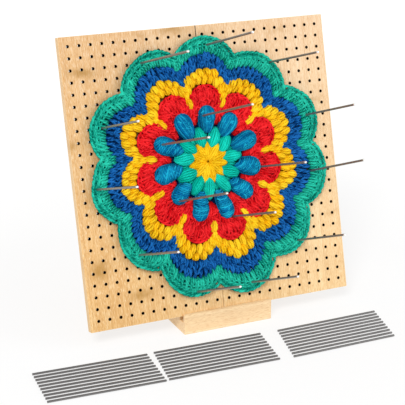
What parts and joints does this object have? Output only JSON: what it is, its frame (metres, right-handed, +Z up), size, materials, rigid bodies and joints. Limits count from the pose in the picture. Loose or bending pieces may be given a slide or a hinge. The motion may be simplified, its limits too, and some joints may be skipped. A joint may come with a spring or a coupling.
{
  "type": "crochet blocking board",
  "caption": "Folding wooden peg board in two hinged halves, leaning in a grooved base, with steel blocking pins holding a scalloped round of crochet.",
  "frame": {"origin": "on the underside of the base block, under the board's seam and half way between the block's front and back faces", "axes": "+X right along the base as seen from the front, +Y towards the back, +Z up"},
  "size_m": [0.3913, 0.1832, 0.3245],
  "materials": {
    "bamboo": "oiled satin",
    "bamboo_light": "oiled satin",
    "zinc_steel": "satin",
    "pin_steel": "satin",
    "yellow_yarn": "matte",
    "turquoise_yarn": "matte",
    "blue_yarn": "matte",
    "red_yarn": "matte",
    "royal_yarn": "matte",
    "green_yarn": "matte"
  },
  "bodies": {
    "stand": {"base_block": "bamboo_light"},
    "left_board": {"left_panel": "bamboo", "hinge_upper_left_leaf": "zinc_steel", "hinge_upper_pin": "zinc_steel", "hinge_lower_left_leaf": "zinc_steel", "hinge_lower_pin": "zinc_steel", "hinge_screws_left": "zinc_steel", "star_left": "yellow_yarn", "puffs_left": "turquoise_yarn", "petals_left": "blue_yarn", "red_round_left": "red_yarn", "gold_round_left": "yellow_yarn", "royal_round_left": "royal_yarn", "green_edge_left": "green_yarn"},
    "right_board": {"right_panel": "bamboo", "hinge_upper_right_leaf": "zinc_steel", "hinge_lower_right_leaf": "zinc_steel", "hinge_screws_right": "zinc_steel", "star_right": "yellow_yarn", "puffs_right": "turquoise_yarn", "petals_right": "blue_yarn", "red_round_right": "red_yarn", "gold_round_right": "yellow_yarn", "royal_round_right": "royal_yarn", "green_edge_right": "green_yarn"},
    "pin_01": {"pin_01": "pin_steel"},
    "pin_02": {"pin_02": "pin_steel"},
    "pin_03": {"pin_03": "pin_steel"},
    "pin_04": {"pin_04": "pin_steel"},
    "pin_05": {"pin_05": "pin_steel"},
    "pin_06": {"pin_06": "pin_steel"},
    "pin_07": {"pin_07": "pin_steel"},
    "pin_08": {"pin_08": "pin_steel"},
    "pin_09": {"pin_09": "pin_steel"},
    "pin_10": {"pin_10": "pin_steel"},
    "pin_11": {"pin_11": "pin_steel"},
    "pin_12": {"pin_12": "pin_steel"},
    "pin_13": {"pin_13": "pin_steel"},
    "pin_14": {"pin_14": "pin_steel"},
    "pin_15": {"pin_15": "pin_steel"},
    "pin_16": {"pin_16": "pin_steel"},
    "spare_set_1": {"spare_pins_1": "pin_steel"},
    "spare_set_2": {"spare_pins_2": "pin_steel"},
    "spare_set_3": {"spare_pins_3": "pin_steel"}
  },
  "joints": [
    {"name": "board_lift", "type": "slide", "parent": "stand", "child": "left_board", "axis": [0, 0, 1], "range_m": [0, 0.12]},
    {"name": "board_fold", "type": "hinge", "parent": "left_board", "child": "right_board", "pos_m": [0, 0.01957, 0.1623], "axis": [0, 0.2504, 0.9681], "range_deg": [0, 179.5]},
    {"name": "pin_01_pull", "type": "slide", "parent": "left_board", "child": "pin_01", "axis": [0.0697, -0.9514, 0.3001], "range_m": [0, 0.03]},
    {"name": "pin_02_pull", "type": "slide", "parent": "right_board", "child": "pin_02", "axis": [0.0261, -0.9534, 0.3006], "range_m": [0, 0.03]},
    {"name": "pin_03_pull", "type": "slide", "parent": "right_board", "child": "pin_03", "axis": [-0.0087, -0.9563, 0.2924], "range_m": [0, 0.03]},
    {"name": "pin_04_pull", "type": "slide", "parent": "right_board", "child": "pin_04", "axis": [-0.0087, -0.9426, 0.3338], "range_m": [0, 0.03]},
    {"name": "pin_05_pull", "type": "slide", "parent": "left_board", "child": "pin_05", "axis": [0.0782, -0.9397, 0.333], "range_m": [0, 0.03]},
    {"name": "pin_06_pull", "type": "slide", "parent": "left_board", "child": "pin_06", "axis": [-0.0087, -0.951, 0.309], "range_m": [0, 0.03]},
    {"name": "pin_07_pull", "type": "slide", "parent": "left_board", "child": "pin_07", "axis": [0.0696, -0.946, 0.3167], "range_m": [0, 0.03]},
    {"name": "pin_08_pull", "type": "slide", "parent": "left_board", "child": "pin_08", "axis": [0.0261, -0.9507, 0.3089], "range_m": [0, 0.03]},
    {"name": "pin_09_pull", "type": "slide", "parent": "left_board", "child": "pin_09", "axis": [0.078, -0.9306, 0.3576], "range_m": [0, 0.03]},
    {"name": "pin_10_pull", "type": "slide", "parent": "right_board", "child": "pin_10", "axis": [0.0346, -0.9298, 0.3664], "range_m": [0, 0.03]},
    {"name": "pin_11_pull", "type": "slide", "parent": "right_board", "child": "pin_11", "axis": [-0.0174, -0.9482, 0.3173], "range_m": [0, 0.03]},
    {"name": "pin_12_pull", "type": "slide", "parent": "right_board", "child": "pin_12", "axis": [-0.0347, -0.9361, 0.3501], "range_m": [0, 0.03]},
    {"name": "pin_13_pull", "type": "slide", "parent": "left_board", "child": "pin_13", "axis": [0.0087, -0.9335, 0.3584], "range_m": [0, 0.03]},
    {"name": "pin_14_pull", "type": "slide", "parent": "left_board", "child": "pin_14", "axis": [0.0086, -0.917, 0.3987], "range_m": [0, 0.03]},
    {"name": "pin_15_pull", "type": "slide", "parent": "right_board", "child": "pin_15", "axis": [0.0172, -0.9169, 0.3987], "range_m": [0, 0.03]},
    {"name": "pin_16_pull", "type": "slide", "parent": "right_board", "child": "pin_16", "axis": [-0.0173, -0.927, 0.3746], "range_m": [0, 0.03]},
    {"name": "spare_set_1_pick_up", "type": "slide", "parent": "stand", "child": "spare_set_1", "axis": [0, 0, 1], "range_m": [0, 0.035]},
    {"name": "spare_set_2_pick_up", "type": "slide", "parent": "stand", "child": "spare_set_2", "axis": [0, 0, 1], "range_m": [0, 0.035]},
    {"name": "spare_set_3_pick_up", "type": "slide", "parent": "stand", "child": "spare_set_3", "axis": [0, 0, 1], "range_m": [0, 0.035]}
  ],
  "couplings": [
    {"joint": "board_fold", "follows": "board_lift", "rad_per_m": 26.107}
  ]
}
